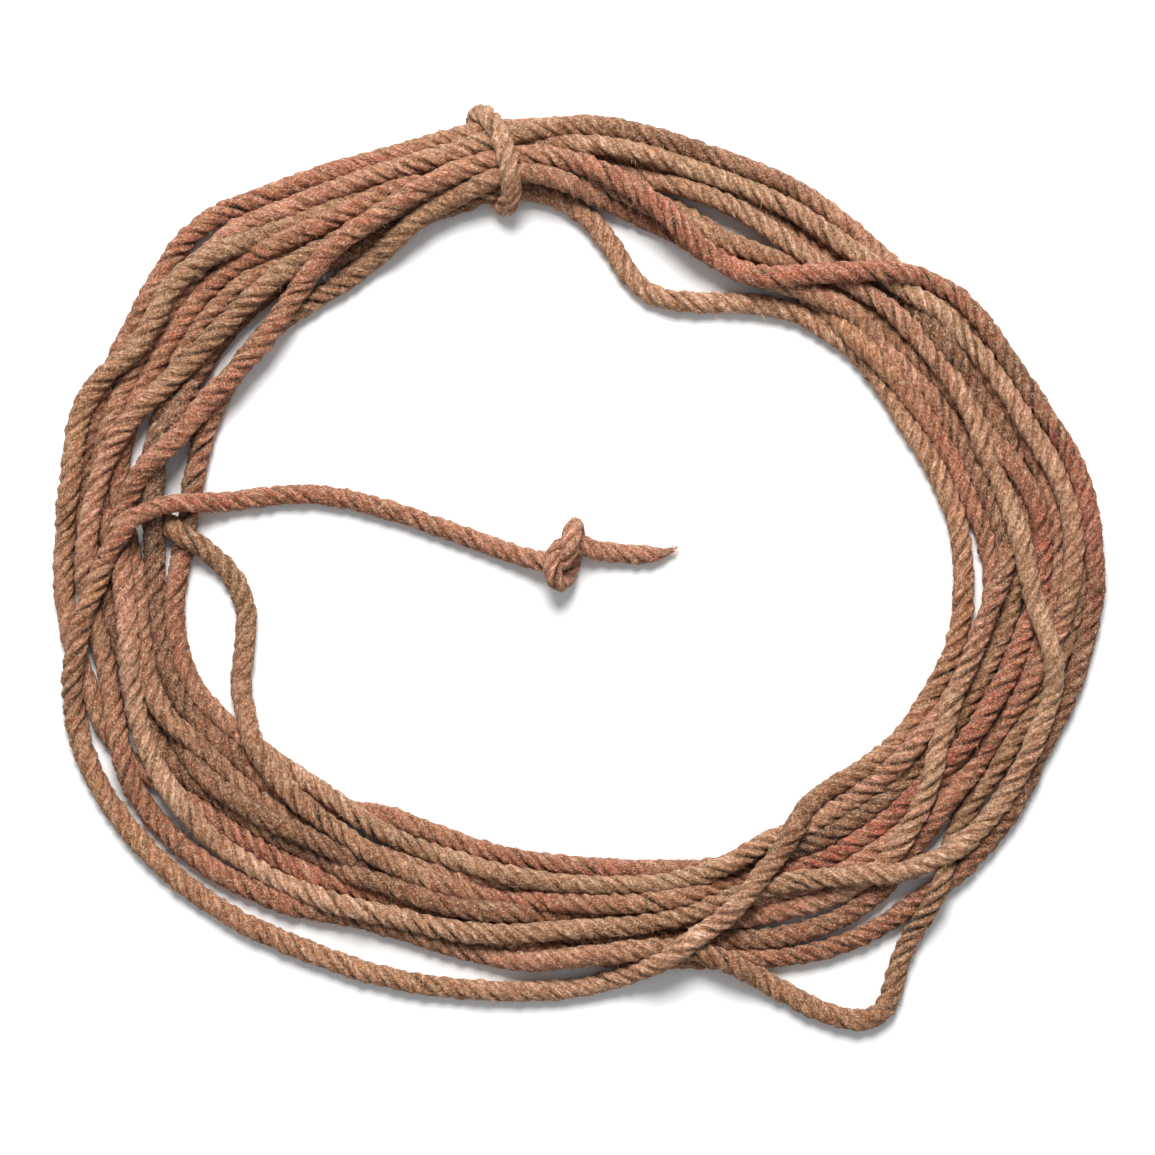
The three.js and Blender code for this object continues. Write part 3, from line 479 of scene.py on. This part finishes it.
# The rope's skin over a grid (station, place around): radius = the rope's radius times one less the
# groove, and the groove is deepest where the sine across a strand is nought. The grid itself turns
# with the lay, so its lines run along the strands.
def ropeSkin(path, spec):
    points = path[:, :3]
    n = len(points)
    s = np.arange(n) * spec["step"]
    onTie = (path[:, 3] > dyeAngles["tieTurn"])[:, None]
    radial = points * [1, 1, 0] - np.array(coilSpec["centre"] + (0,)) * 0.001
    along = np.cross([0.0, 0.0, 1.0], radial)
    reference = np.where(onTie, along, [0.0, 0.0, 1.0])
    side, top, turned = ropeFrames(points, reference)

    k = np.arange(spec["around"])
    share = spec["around"] // spec["strands"]
    strand = k // share
    part = (k % share) / share
    shift = strandDrift(s, spec, spec["unevenDrift"]) * spec["uneven"]
    own = 2 * np.pi * k / spec["around"] + np.pi / spec["strands"]
    own = own + shift[:, strand] * (1 - part) + shift[:, strand + 1] * part
    lay = 2 * np.pi * s / spec["pitch"] + wander(s, *spec["layDrift"])
    angle = own + (lay + turned)[:, None]

    crown = np.sin(np.pi * part)
    wear = wander(s, *spec["wearDrift"])[:, None]
    seams = strandDrift(s, spec, spec["seamDrift"])
    seam = seams[:, strand] * (1 - part) + seams[:, strand + 1] * part
    groove = spec["groove"] * wear * seam * (1 - crown ** spec["crown"])
    swell = 1 + spec["lump"] * strandDrift(s, spec, spec["lumpDrift"])[:, strand] * crown
    size = spec["radius"] * path[:, 4][:, None]
    radius = size * (1 - groove) * swell
    rough = dice.normal(0, 1, (n, spec["around"]))
    rough = rough + spec["smear"] * (np.roll(rough, 1, 0) + np.roll(rough, 1, 1))
    radius = radius + spec["rough"] * rough

    out = side[:, None] * np.cos(angle)[..., None] + top[:, None] * np.sin(angle)[..., None]
    skin = points[:, None] + out * radius[..., None]
    skin[..., 2] = np.maximum(skin[..., 2], 0.0)
    # painted shade: the share by which the material darkens the grooves between strands, most in a
    # groove's middle and less where the lay is worn flatter or the groove is filled with fibre; it goes
    # out under the key groove
    grooveShade = np.broadcast_to((1 - crown) * seam * wear, radius.shape)
    tone = np.exp(spec["mottle"] * dice.normal(0, 1, radius.shape) + spec["roughTone"] * rough)
    chance = dice.random(radius.shape)
    tone = np.where(chance < spec["paleSpots"], tone * spec["paleTone"], tone)
    tone = np.where(chance > 1 - spec["darkSpots"], tone * spec["darkTone"], tone)
    return {"skin": skin, "out": out, "s": s, "angle": angle, "strand": own, "groove": grooveShade, "tone": tone}


# the rope's width as a share of its full one
widthSpec = {
    "slowDrift": (0.12, 0.93, 1.06),
    "quickDrift": (0.03, -0.02, 0.02),
    "looseEnd": 0.93,
    "ripple": 0.02,          # how far the loose end's width goes up and down
    "ripples": 60,
    "tie": 0.98,
    "drawn": 0.05,           # the rope is thinner where the knot draws it tight
    "drawnPast": 0.012,      # from the middle of tail and knot to that place
    "drawnSpread": 0.03,
    "tip": 0.22,
    "taper": 0.014,          # the tail comes to its full width over about this length
}


# Slow drift plus quick drift in the coil, a gentle wave in the loose end, one value in the tie;
# thinner round the knot by a flat-topped bell, and growing evenly from the tip.
def widthAlong(s, angles, spec):
    thick = wander(s, *spec["slowDrift"]) + wander(s, *spec["quickDrift"])
    wave = spec["looseEnd"] + spec["ripple"] * np.sin(s * spec["ripples"])
    thick = np.where(angles < dyeAngles["coilFrom"], wave, thick)
    middle = s[angles < dyeAngles["tail"][1]].mean()
    fromKnot = (s - middle - spec["drawnPast"]) / spec["drawnSpread"]
    thick *= 1 - spec["drawn"] * np.exp(-fromKnot ** 4)
    thick = np.where(angles > dyeAngles["tieFrom"], spec["tie"], thick)
    return thick * np.clip(spec["tip"] + s / spec["taper"], 0, 1)


dyes = {
    "tan": (180, 134, 102), "sand": (215, 174, 145), "beige": (201, 163, 132), "khaki": (168, 131, 98),
    "brown": (137, 92, 64), "umber": (106, 69, 48), "russet": (178, 116, 90), "salmon": (190, 118, 94),
    "red": (178, 96, 78), "pinkTan": (200, 146, 122), "ochre": (188, 138, 100),
}
fibreEndPale = (238, 214, 180)
dyeDepth = np.array([0.8, 1.0, 1.3])   # a darker spot is also redder, a paler one less so

# (dye angle, dye) along the whole rope, from the tail to the tie, a list for each turn
dyeMarks = [
    [(-30, "pinkTan"), (50, "russet"), (110, "salmon"), (160, "russet")],
    [(183, "russet"), (200, "tan"), (215, "ochre"), (285, "sand"), (300, "brown"), (318, "tan"),
     (340, "ochre"), (430, "sand"), (450, "tan"), (470, "brown"), (535, "umber")],
    [(181, "umber"), (205, "brown"), (240, "russet"), (275, "russet"), (300, "umber"), (330, "khaki"),
     (350, "khaki"), (375, "brown"), (410, "brown"), (460, "tan"), (480, "russet"), (500, "russet"),
     (535, "brown")],
    [(182, "brown"), (240, "brown"), (291, "russet"), (308, "sand"), (330, "beige"), (345, "pinkTan"),
     (363, "brown"), (390, "pinkTan"), (420, "tan"), (440, "russet"), (470, "khaki"), (490, "khaki"),
     (520, "russet"), (538, "brown")],
    [(187, "russet"), (203, "russet"), (235, "beige"), (270, "khaki"), (295, "beige"), (312, "pinkTan"),
     (340, "pinkTan"), (375, "salmon"), (405, "ochre"), (440, "tan"), (535, "tan")],
    [(185, "khaki"), (215, "tan"), (250, "tan"), (262, "salmon"), (278, "tan"), (303, "red"),
     (345, "salmon"), (360, "red"), (380, "tan"), (440, "tan"), (485, "khaki"), (510, "khaki"),
     (525, "pinkTan")],
    [(180, "pinkTan"), (195, "tan"), (212, "russet"), (235, "russet"), (250, "khaki"), (263, "pinkTan"),
     (280, "tan"), (290, "tan"), (314, "khaki"), (340, "khaki"), (412, "pinkTan"), (436, "brown"),
     (450, "khaki"), (465, "beige"), (480, "pinkTan"), (493, "pinkTan"), (535, "tan")],
    [(200, "brown"), (290, "brown"), (322, "russet"), (343, "russet"), (352, "tan"), (380, "sand"),
     (412, "beige"), (445, "beige"), (480, "khaki"), (515, "khaki"), (530, "ochre")],
    [(182, "tan"), (200, "tan"), (235, "salmon"), (260, "tan"), (292, "russet"), (325, "brown"),
     (345, "brown"), (365, "red"), (385, "brown"), (402, "salmon"), (445, "salmon"), (455, "pinkTan"),
     (475, "russet"), (535, "russet")],
    [(190, "pinkTan"), (205, "sand"), (245, "sand"), (255, "beige"), (290, "khaki"), (300, "beige"),
     (368, "beige"), (405, "pinkTan"), (415, "sand"), (440, "tan"), (490, "russet"), (520, "russet")],
    [(200, "tan"), (300, "pinkTan"), (445, "tan")],
    [(100, "beige")],
]


# A colour of 0 to 255 a channel, as light: the standard screen curve undone.
def linearColour(rgb):
    c = np.array(rgb, float) / 255.0
    return np.where(c <= 0.04045, c / 12.92, ((c + 0.055) / 1.055) ** 2.4)


# Dye of each station: straight mixing between the marks.
def dyeAlong(angles):
    at, colour = [], []
    for index, marks in enumerate(dyeMarks):
        base = 360.0 * (index - 1) if index > 0 else 0.0
        for degrees, name in marks:
            at.append(base + degrees)
            colour.append(linearColour(dyes[name]))
    order = np.argsort(at)
    at = np.array(at)[order]
    colour = np.array(colour)[order]
    return np.stack([np.interp(angles, at, colour[:, c]) for c in range(3)], 1)


# a grain is (scale, detail, roughness) of a noise, and a range is (from, to) of a noise and then
# (from, to) of what it becomes
fibreSpec = {
    "surface": {
        "Roughness": 0.95, "Specular IOR Level": 0.15, "Sheen Weight": 0.25,
        "Sheen Roughness": 0.6, "Sheen Tint": (1.0, 0.86, 0.72, 1.0),
    },
    "brightness": (1.02, 0.91, 0.86),
    "warmth": (0.78, 1.0, 1.28),         # darker places, the painted groove shade among them, keep more red and less blue
    "yarnRuns": (160.0, 22.0, 1.0),      # along and round a strand
    "yarnGrain": (1.0, 3, 0.6),
    "yarnRange": (0.34, 0.66, 0.62, 1.34),
    "hairRuns": (480.0, 75.0, 1.0),      # along and round the rope
    "hairGrain": (1.0, 3, 0.75),
    "hairRange": (0.34, 0.66, 0.48, 1.46),
    "patchGrain": (60, 4, 0.6),
    "patchRange": (0.42, 0.66, 0.0, 0.45),
    "patchColour": (0.50, 0.20, 0.13, 1.0),
    "stainGrain": (230, 3, 0.6),
    "stainRange": (0.47, 0.66, 0.0, 0.45),
    "stainColour": (0.68, 0.46, 0.31, 1.0),
    "speckGrain": (620, 4, 0.8),
    "speckRange": (0.36, 0.64, 0.46, 1.50),
    "fleckGrain": (1100, 3, 0.85),
    "fleckRange": (0.52, 0.60, 0.0, 1.0),
    "fleckHairs": (0.42, 0.55, 0.0, 1.0),
    "fleckShare": 0.8,
    "fleckColour": (0.93, 0.76, 0.53, 1.0),
    # painted shade in the grooves between strands: how far the stain noise deepens it, and how dark it
    # gets
    "grooveShadeRange": (0.34, 0.6, 0.55, 1.15),
    "grooveShadeStrength": 0.82,
    "bumpDepth": 0.0011,
    "bumpYarns": 0.9,
    "bumpHairs": 0.6,
}


def newMaterial(name, surface):
    mat = bpy.data.materials.new(name)
    mat.use_nodes = True
    shader = mat.node_tree.nodes["Principled BSDF"]
    for socket, value in surface.items():
        shader.inputs[socket].default_value = value
    return mat, mat.node_tree.nodes, mat.node_tree.links, shader


def attributeNode(nodes, name):
    node = nodes.new("ShaderNodeAttribute")
    node.attribute_name = name
    return node


def ropeMaterial(spec):
    mat, nodes, links, shader = newMaterial("wornRope", spec["surface"])
    place = nodes.new("ShaderNodeTexCoord")
    dye = attributeNode(nodes, "dye")
    # the painted groove shade from the mesh
    groove = attributeNode(nodes, "groove")

    def feed(socket, value):
        if isinstance(value, bpy.types.NodeSocket):
            links.new(value, socket)
        else:
            socket.default_value = value

    def noise(vector, *grain):
        n = nodes.new("ShaderNodeTexNoise")
        for name, value in zip(("Scale", "Detail", "Roughness"), grain):
            n.inputs[name].default_value = value
        links.new(vector, n.inputs["Vector"])
        return n.outputs["Fac"]

    def spread(value, *ends):
        m = nodes.new("ShaderNodeMapRange")
        for name, end in zip(("From Min", "From Max", "To Min", "To Max"), ends):
            m.inputs[name].default_value = end
        links.new(value, m.inputs["Value"])
        return m.outputs["Result"]

    def maths(operation, a, b):
        m = nodes.new("ShaderNodeMath")
        m.operation = operation
        feed(m.inputs[0], a)
        feed(m.inputs[1], b)
        return m.outputs[0]

    def mixColour(blend, share, a, b):
        m = nodes.new("ShaderNodeMix")
        m.data_type = "RGBA"
        m.blend_type = blend
        for key, value in (("Factor", share), (6, a), (7, b)):
            feed(m.inputs[key], value)
        return m.outputs[2]

    def streaks(layer, runs, grain):
        uv = nodes.new("ShaderNodeUVMap")
        uv.uv_map = layer
        stretch = nodes.new("ShaderNodeMapping")
        stretch.inputs["Scale"].default_value = runs
        links.new(uv.outputs["UV"], stretch.inputs["Vector"])
        return noise(stretch.outputs["Vector"], *grain)

    yarns = streaks("alongStrand", spec["yarnRuns"], spec["yarnGrain"])
    hairs = streaks("alongRope", spec["hairRuns"], spec["hairGrain"])
    here = place.outputs["Object"]
    patches = noise(here, *spec["patchGrain"])
    stain = noise(here, *spec["stainGrain"])
    specks = noise(here, *spec["speckGrain"])
    flecks = noise(here, *spec["fleckGrain"])

    colour = dye.outputs["Color"]
    colour = mixColour("MIX", spread(patches, *spec["patchRange"]), colour, spec["patchColour"])
    colour = mixColour("MIX", spread(stain, *spec["stainRange"]), colour, spec["stainColour"])
    light = maths("MULTIPLY", spread(yarns, *spec["yarnRange"]), spread(hairs, *spec["hairRange"]))
    light = maths("MULTIPLY", light, spread(specks, *spec["speckRange"]))
    # painted shade: the texture's light is darkened along the grooves between strands, more where the
    # stain noise is high
    depth = maths("MULTIPLY", groove.outputs["Fac"], spread(stain, *spec["grooveShadeRange"]))
    shade = maths("SUBTRACT", 1.0, maths("MULTIPLY", depth, spec["grooveShadeStrength"]))
    light = maths("MULTIPLY", light, shade)
    tint = nodes.new("ShaderNodeCombineColor")
    for socket, power, gain in zip(tint.inputs[:3], spec["warmth"], spec["brightness"]):
        links.new(maths("MULTIPLY", maths("POWER", light, power), gain), socket)
    colour = mixColour("MULTIPLY", 1.0, colour, tint.outputs[0])
    bright = maths("MULTIPLY", spread(flecks, *spec["fleckRange"]), spread(hairs, *spec["fleckHairs"]))
    bright = maths("MULTIPLY", bright, spec["fleckShare"])
    colour = mixColour("MIX", bright, colour, spec["fleckColour"])
    links.new(colour, shader.inputs["Base Color"])

    bump = nodes.new("ShaderNodeBump")
    bump.inputs["Strength"].default_value = 1.0
    bump.inputs["Distance"].default_value = spec["bumpDepth"]
    fine = maths("ADD", specks, maths("MULTIPLY", hairs, spec["bumpHairs"]))
    height = maths("ADD", maths("MULTIPLY", yarns, spec["bumpYarns"]), fine)
    links.new(height, bump.inputs["Height"])
    links.new(bump.outputs["Normal"], shader.inputs["Normal"])
    return mat


fuzzSurface = {"Roughness": 0.85, "Specular IOR Level": 0.2}


def fuzzMaterial(surface):
    mat, nodes, links, shader = newMaterial("looseFibre", surface)
    links.new(attributeNode(nodes, "dye").outputs["Color"], shader.inputs["Base Color"])
    return mat


def putMesh(name, verts, faces, mat, colours, paintedGrooveShade=None, uvs=()):
    mesh = bpy.data.meshes.new(name)
    loops = np.concatenate([f.ravel() for f in faces])
    sizes = np.concatenate([np.full(len(f), f.shape[1]) for f in faces])
    mesh.vertices.add(len(verts))
    mesh.vertices.foreach_set("co", verts.astype(np.float32).ravel())
    mesh.loops.add(len(loops))
    mesh.loops.foreach_set("vertex_index", loops.astype(np.int32))
    mesh.polygons.add(len(sizes))
    mesh.polygons.foreach_set("loop_start", np.r_[0, np.cumsum(sizes)[:-1]].astype(np.int32))
    mesh.polygons.foreach_set("use_smooth", np.ones(len(sizes), bool))
    for layerName, uv in uvs:
        layer = mesh.uv_layers.new(name=layerName)
        layer.data.foreach_set("uv", uv.astype(np.float32).ravel())
    shade = mesh.color_attributes.new("dye", "FLOAT_COLOR", "POINT")
    solid = np.column_stack([colours, np.ones(len(colours))])
    shade.data.foreach_set("color", solid.astype(np.float32).ravel())
    # painted shade for the grooves between strands goes on as the groove attribute
    if paintedGrooveShade is not None:
        shadeLayer = mesh.attributes.new("groove", "FLOAT", "POINT")
        shadeLayer.data.foreach_set("value", paintedGrooveShade.astype(np.float32).ravel())
    mesh.update(calc_edges=True)
    mesh.validate()
    mesh.materials.append(mat)
    piece = bpy.data.objects.new(name, mesh)
    bpy.context.collection.objects.link(piece)
    return piece


# Quads over the grid, joined round the rope, and a fan of triangles to a middle point at each end.
def ropePiece(name, skin, first, last, colours, mat):
    a, b = first, last + 1
    grid = skin["skin"][a:b]
    n, m = grid.shape[:2]
    index = np.arange(n * m).reshape(n, m)
    nextAround = np.roll(index, -1, axis=1)
    quads = np.stack([index[:-1], nextAround[:-1], nextAround[1:], index[1:]], -1).reshape(-1, 4)
    start, end = n * m, n * m + 1
    capA = np.stack([np.full(m, start), nextAround[0], index[0]], -1)
    capB = np.stack([np.full(m, end), index[-1], nextAround[-1]], -1)
    verts = np.vstack([grid.reshape(-1, 3), grid[0].mean(0), grid[-1].mean(0)])
    u = np.broadcast_to(skin["s"][a:b, None], (n, m))
    layers = []
    for layerName, place in (("alongRope", skin["angle"]), ("alongStrand", skin["strand"])):
        v = place[a:b] / (2 * np.pi)
        vNext = np.hstack([v[:, 1:], v[:, :1] + 1.0])
        corners = [(u[:-1], v[:-1]), (u[:-1], vNext[:-1]), (u[1:], vNext[1:]), (u[1:], v[1:])]
        uv = np.stack([np.stack(corner, -1) for corner in corners], 2).reshape(-1, 2)
        layers.append((layerName, np.vstack([uv, np.zeros((6 * m, 2))])))
    spots = colours[a:b, None] * skin["tone"][a:b, :, None] ** dyeDepth
    shade = np.vstack([spots.reshape(-1, 3), colours[a:a + 1], colours[b - 1:b]])
    # painted groove shade for each vertex, none at the two end points
    groove = np.r_[skin["groove"][a:b].ravel(), 0.0, 0.0]
    return putMesh(name, verts, [quads, capA, capB], mat, shade, groove, layers)


needleSpec = {
    "sides": 3,
    "root": 0.0003,          # its root lies this deep in the skin
    "floor": 0.00015,
    "lean": (0.5, 1.3),      # share of its heading that runs along the lay
    "shortest": 0.3,         # of its usual length
    "kink": 0.4,
    "end": 0.35,             # width near its tip
    "widths": (0.7, 1.3),
}


# Each fibre is a three-sided needle: a ring at its root, a ring at each bend and one point at its
# tip. It leaves the skin along the lay and outward, then bends over.
def fibres(name, skin, colours, mat, pick, spec, rng):
    stations, place = pick
    n = len(stations)
    root = skin["skin"][stations, place]
    out = skin["out"][stations, place]
    lay = skin["skin"][np.minimum(stations + 1, len(skin["s"]) - 1), place] - root
    lay /= np.linalg.norm(lay, axis=1)[:, None] + 1e-9
    lay *= np.full((n, 1), spec["way"]) if spec["way"] else rng.choice([-1.0, 1.0], (n, 1))
    length = rng.gamma(spec["shape"], spec["length"] / spec["shape"], n)
    length = length.clip(spec["length"] * needleSpec["shortest"], spec["longest"])
    heading = lay * rng.uniform(*needleSpec["lean"], (n, 1))
    heading = heading + out * rng.uniform(*spec["lift"], (n, 1))
    heading += rng.normal(0, spec["stray"], (n, 3))
    heading /= np.linalg.norm(heading, axis=1)[:, None]
    curl = rng.normal(0, spec["curl"], (n, 3)) - out * spec["lay"]
    bends = spec["bends"]
    points = [root - out * needleSpec["root"]]
    for _ in range(bends):
        points.append(points[-1] + heading * (length / bends)[:, None])
        heading = heading + curl + rng.normal(0, spec["curl"] * needleSpec["kink"], (n, 3))
        heading /= np.linalg.norm(heading, axis=1)[:, None]
    points = np.stack(points, 1)
    points[..., 2] = np.maximum(points[..., 2], needleSpec["floor"])
    way = np.gradient(points, axis=1)
    way /= np.linalg.norm(way, axis=2)[..., None] + 1e-9
    acrossA = np.cross(way, rng.normal(0, 1, (n, 1, 3)))
    acrossA /= np.linalg.norm(acrossA, axis=2)[..., None] + 1e-9
    acrossB = np.cross(way, acrossA)
    thin = spec["radius"] * np.linspace(1.0, needleSpec["end"], bends)[None, :, None]
    thin = thin * rng.uniform(*needleSpec["widths"], (n, 1, 1))
    sides = needleSpec["sides"]
    corner = (2 * np.pi * np.arange(sides) / sides)[None, None, :, None]
    ring = acrossA[:, :bends, None] * np.cos(corner) + acrossB[:, :bends, None] * np.sin(corner)
    rings = points[:, :bends, None] + thin[..., None] * ring
    per = bends * sides + 1
    verts = np.concatenate([rings.reshape(n, -1, 3), points[:, -1:]], 1)
    index = np.arange(bends * sides).reshape(bends, sides)
    turned = np.roll(index, -1, axis=1)
    lower = np.stack([index[:-1], turned[:-1], turned[1:]], -1).reshape(-1, 3)
    upper = np.stack([index[:-1], turned[1:], index[1:]], -1).reshape(-1, 3)
    tip = np.stack([index[-1], turned[-1], np.full(sides, per - 1)], -1)
    base = np.array([[0, 2, 1]])
    one = np.vstack([lower, upper, tip, base])
    tris = (one[None] + (np.arange(n) * per)[:, None, None]).reshape(-1, 3)
    tone = colours[stations] * rng.uniform(*spec["tone"], (n, 1))
    tone = tone + (linearColour(fibreEndPale) - tone) * rng.uniform(0, spec["pale"], (n, 1))
    shade = np.repeat(tone, per, axis=0)
    return putMesh(name, verts.reshape(-1, 3), [tris], mat, shade)


# Evens out small bends: each point moves half way to the middle of its neighbours.
def easeBends(path, first, last, rounds):
    part = path[first:last]
    for _ in range(rounds):
        part[1:-1, :3] += 0.5 * (0.5 * (part[:-2, :3] + part[2:, :3]) - part[1:-1, :3])


joinSpec = {
    "before": 6,             # stations of the knot whose bends are eased where the loose end begins
    "after": 14,
    "joinRounds": 60,
    "coilRounds": 24,
    "knotDense": 8,          # points cut in each span of the knot, and of the coil
    "coilDense": 6,
    "coilPieces": 4,
    "lineEvery": 3,          # stations between two points of the line picked from each piece
    "held": 2,               # points of the loose end that stay on the knot
}

print("tightening the knot")
knot = evenPath(knotPath(knotSpec), ropeSpec["step"], joinSpec["knotDense"])
print("winding the coil")
wound = evenPath(woundRows(knot[-1, :3] * 1000), settleSpec["step"])
wound = settle(wound, settleSpec, np.arange(len(wound)) < joinSpec["held"])
path = np.vstack([knot, evenPath(wound, ropeSpec["step"], joinSpec["coilDense"])[1:]])
joinFrom, joinTo = len(knot) - joinSpec["before"], len(knot) + joinSpec["after"]
easeBends(path, joinFrom, joinTo, joinSpec["joinRounds"])
easeBends(path, len(knot), len(path), joinSpec["coilRounds"])
path = cutEven(path, ropeSpec["step"])
print(f"rope length {(len(path) - 1) * ropeSpec['step']:.3f} m, {len(path)} stations")

print("laying the strands")
angles = path[:, 3]
s = np.arange(len(path)) * ropeSpec["step"]
path = np.column_stack([path, widthAlong(s, angles, widthSpec)])
skin = ropeSkin(path, ropeSpec)
colours = dyeAlong(angles)
ropeLook = ropeMaterial(fibreSpec)
fuzzLook = fuzzMaterial(fuzzSurface)

coilStart = int(np.argmax(angles > dyeAngles["coilCut"]))
tieStart = int(np.argmax(angles > dyeAngles["tieCut"]))
cuts = np.linspace(coilStart, tieStart, joinSpec["coilPieces"] + 1).astype(int)
spans = [("looseEndRope", 0, coilStart)]
spans += [(f"coilRope{k + 1}", int(cuts[k]), int(cuts[k + 1])) for k in range(joinSpec["coilPieces"])]
spans += [("tieRope", tieStart, len(path) - 1)]
stands = {"looseEndRope": ("loose_end", "overhand_knot"), "tieRope": ("tie_turn",)}

# "lift" is how steeply a fibre leaves the skin, "lay" how it bends back to it, and "way" is 1 or -1
# for fibres that all run one way along the rope
matted = {
    "perMetre": 7500, "length": 0.0024, "longest": 0.006, "shape": 3.0, "lift": (0.1, 0.5),
    "stray": 0.45, "curl": 0.5, "lay": 0.35, "bends": 2, "radius": 0.00011, "tone": (0.55, 1.6),
    "pale": 0.7, "way": 0,
}
strays = {
    "perMetre": 70, "length": 0.006, "longest": 0.012, "shape": 2.5, "lift": (0.3, 0.8),
    "stray": 0.5, "curl": 0.5, "lay": 0.3, "bends": 4, "radius": 0.00006, "tone": (1.0, 1.3),
    "pale": 1.0, "way": 0,
}
# the frayed tip: fibres that run on past the end of the rope
frayed = {
    "count": 170, "length": 0.0032, "longest": 0.006, "shape": 3.0, "lift": (-0.25, 0.08),
    "stray": 0.14, "curl": 0.22, "lay": 0.0, "bends": 3, "radius": 0.00013, "tone": (0.7, 1.5),
    "pale": 0.7, "way": -1, "stations": 6,
}
# fewer fibres are kept on the rope's underside: "level" on its sides, "more" for facing up
fuzzShare = {"seed": 7, "fewest": 20, "level": 0.5, "more": 0.8, "least": 0.12}

print("raising the fuzz")
for name, first, last in spans:
    piece = ropePiece(name, skin, first, last, colours, ropeLook)
    own = np.random.default_rng(fuzzShare["seed"] + first)
    metres = (last - first) * ropeSpec["step"]
    hairs = []
    for kind, spec in (("Fuzz", matted), ("Strays", strays)):
        count = fuzzShare["fewest"] + int(spec["perMetre"] * metres)
        stations = own.integers(first, last, count)
        place = own.integers(0, ropeSpec["around"], count)
        up = skin["out"][stations, place][:, 2]
        chance = np.clip(fuzzShare["level"] + fuzzShare["more"] * up, fuzzShare["least"], 1)
        keep = own.random(count) < chance
        pick = (stations[keep], place[keep])
        hairs.append(fibres(name + kind, skin, colours, fuzzLook, pick, spec, own))
    if name == "looseEndRope":
        stations = own.integers(0, frayed["stations"], frayed["count"])
        place = own.integers(0, ropeSpec["around"], frayed["count"])
        hairs.append(fibres("frayedTip", skin, colours, fuzzLook, (stations, place), frayed, own))
    for part in [piece] + hairs:
        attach(part, "root")
    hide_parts(*stands.get(name, ("coil",)))
    line = path[first:last + 1, :3]
    line = line[np.unique(np.r_[np.arange(0, len(line), joinSpec["lineEvery"]), len(line) - 1])]


floorSpec = {
    "half": 3.0,
    "below": 0.0002,
    "surface": {"Base Color": (0.93, 0.935, 0.94, 1), "Roughness": 0.9},
}


def makeFloor(spec):
    mesh = bpy.data.meshes.new("floor")
    half = spec["half"]
    corners = [(-half, -half, 0), (half, -half, 0), (half, half, 0), (-half, half, 0)]
    mesh.from_pydata(corners, [], [(0, 1, 2, 3)])
    mesh.materials.append(newMaterial("whitePaper", spec["surface"])[0])
    floor = bpy.data.objects.new("floor", mesh)
    floor.location = (0, 0, -spec["below"])
    bpy.context.collection.objects.link(floor)


lightSpec = {
    "place": (-0.12, 1.5, 2.0),
    "size": 1.15,
    "power": 68.0,
    "colour": (1.0, 0.985, 0.96),
    "sky": 0.38,
    "skyColour": (0.93, 0.97, 1.0, 1),
}


# One round soft light, pointed at the middle of the coil, and an even pale sky.
def makeLight(spec):
    lamp = bpy.data.lights.new("keyLight", "AREA")
    lamp.shape = "DISK"
    lamp.size = spec["size"]
    lamp.energy = spec["power"]
    lamp.color = spec["colour"]
    light = bpy.data.objects.new("keyLight", lamp)
    light.location = spec["place"]
    light.rotation_euler = (-Vector(spec["place"])).to_track_quat("-Z", "Y").to_euler()
    bpy.context.collection.objects.link(light)
    world = bpy.data.worlds.new("studio")
    world.use_nodes = True
    sky = world.node_tree.nodes["Background"]
    sky.inputs["Color"].default_value = spec["skyColour"]
    sky.inputs["Strength"].default_value = spec["sky"]
    bpy.context.scene.world = world


print("placing floor and light")
makeFloor(floorSpec)
makeLight(lightSpec)
bpy.context.scene.view_settings.view_transform = "Standard"
bpy.context.scene.view_settings.look = "Medium High Contrast"
